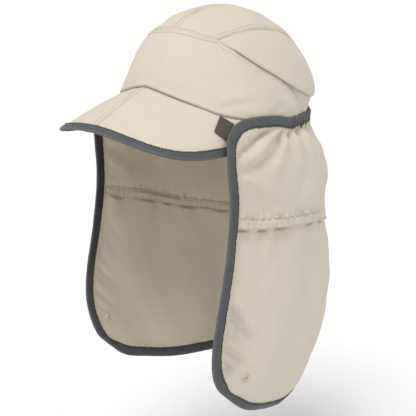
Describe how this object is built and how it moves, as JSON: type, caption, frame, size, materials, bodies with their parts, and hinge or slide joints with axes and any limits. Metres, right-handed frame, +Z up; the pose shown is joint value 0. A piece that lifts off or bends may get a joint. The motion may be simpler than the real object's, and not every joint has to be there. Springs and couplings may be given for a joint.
{
  "type": "legionnaire cap",
  "caption": "Soft sun cap with a curved peak, a seamed crown with lapped side vents, and a long bound neck cape gathered on an elastic edge and open at the face.",
  "frame": {"origin": "centre of the head opening, on the line where the elastic edge of the cape grips the crown", "axes": "+Z up through the crown, -Y towards the front of the peak, +X towards the wearer's left"},
  "size_m": [0.2006, 0.283, 0.3841],
  "materials": {
    "cloth": "matt plain weave, light beige",
    "tape": "ribbed binding tape, dark grey",
    "weave": "plain woven tab, dark brown",
    "snap": "moulded plastic, beige"
  },
  "bodies": {
    "root": {"crown_band": "cloth", "top_panel_left": "cloth", "top_panel_right": "cloth", "vent_panel_left": "cloth", "vent_panel_right": "cloth", "brim_left": "cloth", "brim_right": "cloth", "brim_binding": "tape", "cape": "cloth", "cape_binding": "tape", "neck_casing": "cloth", "snap_cap_left": "snap", "snap_cap_right": "snap", "snap_socket_left": "snap", "snap_socket_right": "snap", "label_tab": "weave"}
  },
  "joints": []
}
